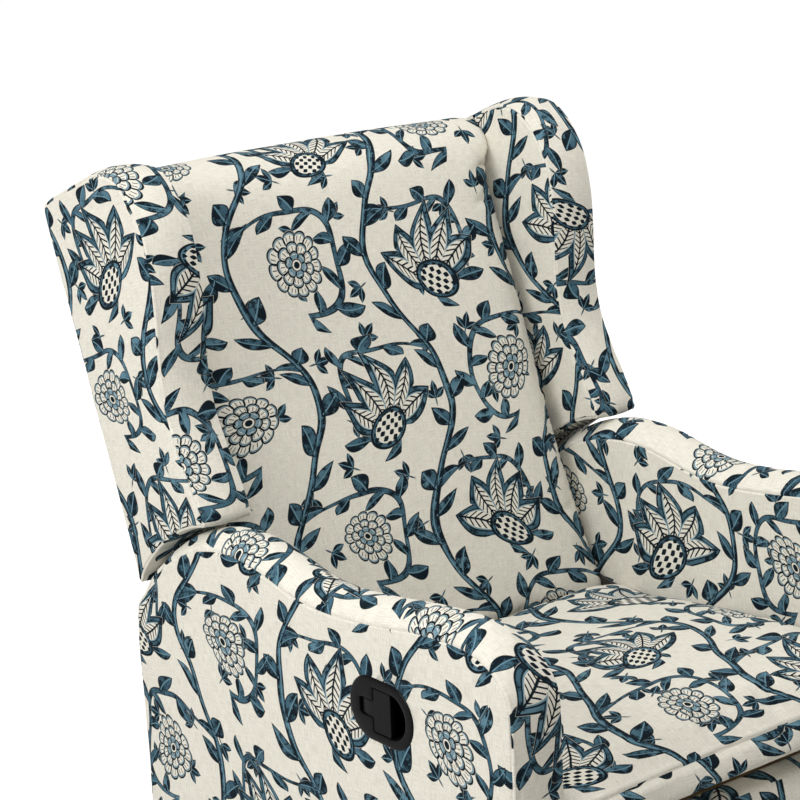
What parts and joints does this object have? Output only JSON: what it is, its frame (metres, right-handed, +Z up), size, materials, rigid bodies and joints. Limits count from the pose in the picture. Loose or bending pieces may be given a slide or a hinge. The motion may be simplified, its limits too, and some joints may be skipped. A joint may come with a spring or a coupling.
{
  "type": "swivel glider recliner",
  "caption": "Upholstered wingback swivel glider recliner with padded arms, reclining back, fold-out footrest, recessed release handle and round swivel base.",
  "frame": {"origin": "on the floor, on the swivel axis", "axes": "+Z up along the swivel axis, the chair faces -Y, +X towards the sitter's left; the release handle is on the -X arm"},
  "size_m": [0.763, 1.0078, 1.048],
  "materials": {
    "cloth": "printed linen weave",
    "timber": "raw",
    "plastic": "satin black",
    "black_steel": "black powder coat",
    "zinc_steel": "zinc plated"
  },
  "bodies": {
    "floor_base": {"base_ring": "black_steel", "base_cross_bars": "black_steel", "floor_glides": "plastic", "bearing_lower_plate": "zinc_steel", "bearing_balls": "zinc_steel", "swivel_bolt": "zinc_steel"},
    "turntable": {"bearing_upper_plate": "zinc_steel", "cross_rails": "black_steel", "glider_side_left": "black_steel", "glider_side_right": "black_steel", "upper_link_pins": "zinc_steel", "turntable_bolts": "zinc_steel"},
    "front_links": {"front_swing_links": "zinc_steel"},
    "rear_links": {"rear_swing_links": "zinc_steel"},
    "chair_frame": {"chair_rail_left": "black_steel", "chair_rail_right": "black_steel", "lower_link_pins": "zinc_steel", "front_cross_board": "timber", "rear_cross_board": "timber", "side_plate_left": "black_steel", "side_plate_right": "black_steel", "recline_pins": "zinc_steel", "arm_left": "cloth", "arm_right": "cloth", "arm_board_left": "timber", "arm_board_right": "timber", "rear_panel": "cloth", "latch_cup": "plastic", "release_cable": "plastic"},
    "release_lever": {"release_lever": "zinc_steel"},
    "latch_paddle": {"latch_paddle": "plastic"},
    "back": {"back_post_left": "timber", "back_post_right": "timber", "back_cross_rails": "timber", "back_springs": "zinc_steel", "back_cushion": "cloth", "wing_left": "cloth", "wing_right": "cloth", "wing_board_left": "timber", "wing_board_right": "timber", "outside_back": "cloth", "back_skirt": "cloth", "hinge_plate_left": "black_steel", "hinge_plate_right": "black_steel"},
    "seat": {"seat_front_rail": "timber", "seat_rear_rail": "timber", "seat_side_rail_left": "timber", "seat_side_rail_right": "timber", "seat_springs": "zinc_steel", "seat_cushion": "cloth", "footrest_brackets": "black_steel", "footrest_base_pins": "zinc_steel"},
    "footrest_lower": {"footrest_lower_links": "black_steel", "footrest_torque_tube": "black_steel", "footrest_elbow_pins": "zinc_steel"},
    "footrest_upper": {"footrest_upper_links": "black_steel"},
    "footrest": {"footrest_board": "timber", "footrest_board_brackets": "black_steel", "footrest_board_pins": "zinc_steel", "footrest_pad": "cloth"}
  },
  "joints": [
    {"name": "swivel", "type": "hinge", "parent": "floor_base", "child": "turntable", "pos_m": [0, 0, 0], "axis": [0, 0, 1], "continuous": true},
    {"name": "glide", "type": "hinge", "parent": "turntable", "child": "front_links", "pos_m": [0, -0.14969, 0.19468], "axis": [1, 0, 0], "range_deg": [-20, 20]},
    {"name": "chair_level", "type": "hinge", "parent": "front_links", "child": "chair_frame", "pos_m": [0, -0.14969, 0.08968], "axis": [1, 0, 0], "range_deg": [-20.01, 20.01]},
    {"name": "rear_link", "type": "hinge", "parent": "turntable", "child": "rear_links", "pos_m": [0, 0.14969, 0.17532], "axis": [1, 0, 0], "range_deg": [-20.01, 20.01]},
    {"name": "recline", "type": "hinge", "parent": "chair_frame", "child": "back", "pos_m": [0, 0.11369, 0.36342], "axis": [-1, 0, 0], "range_deg": [0, 35]},
    {"name": "seat_slide", "type": "slide", "parent": "chair_frame", "child": "seat", "axis": [0, -0.9866, 0.1633], "range_m": [0, 0.06001]},
    {"name": "footrest", "type": "hinge", "parent": "seat", "child": "footrest_lower", "pos_m": [0, -0.23096, 0.30253], "axis": [-1, 0, 0], "range_deg": [0, 121.36]},
    {"name": "footrest_fold", "type": "hinge", "parent": "footrest_lower", "child": "footrest_upper", "pos_m": [0, -0.12072, 0.14778], "axis": [-1, 0, 0], "range_deg": [-127.03, 0]},
    {"name": "footrest_tip", "type": "hinge", "parent": "footrest_upper", "child": "footrest", "pos_m": [0, -0.34972, 0.24808], "axis": [-1, 0, 0], "range_deg": [0, 95.67]},
    {"name": "latch", "type": "hinge", "parent": "chair_frame", "child": "latch_paddle", "pos_m": [-0.377, -0.14083, 0.50314], "axis": [0, -0.0645, -0.9979], "range_deg": [0, 30], "stiffness_Nm_per_rad": 0.4, "springref_deg": -5.73},
    {"name": "release_lever", "type": "hinge", "parent": "chair_frame", "child": "release_lever", "pos_m": [-0.293, -0.16771, 0.27339], "axis": [-1, 0, 0], "range_deg": [0, 12.01]}
  ],
  "couplings": [
    {"joint": "chair_level", "follows": "glide", "ratio": -1},
    {"joint": "rear_link", "follows": "glide", "ratio": 1},
    {"joint": "seat_slide", "follows": "recline", "m_per_rad": 0.098221},
    {"joint": "footrest_fold", "follows": "footrest", "ratio": -1.0466},
    {"joint": "footrest_tip", "follows": "footrest", "ratio": 0.78821},
    {"joint": "release_lever", "follows": "latch", "ratio": 0.4}
  ]
}
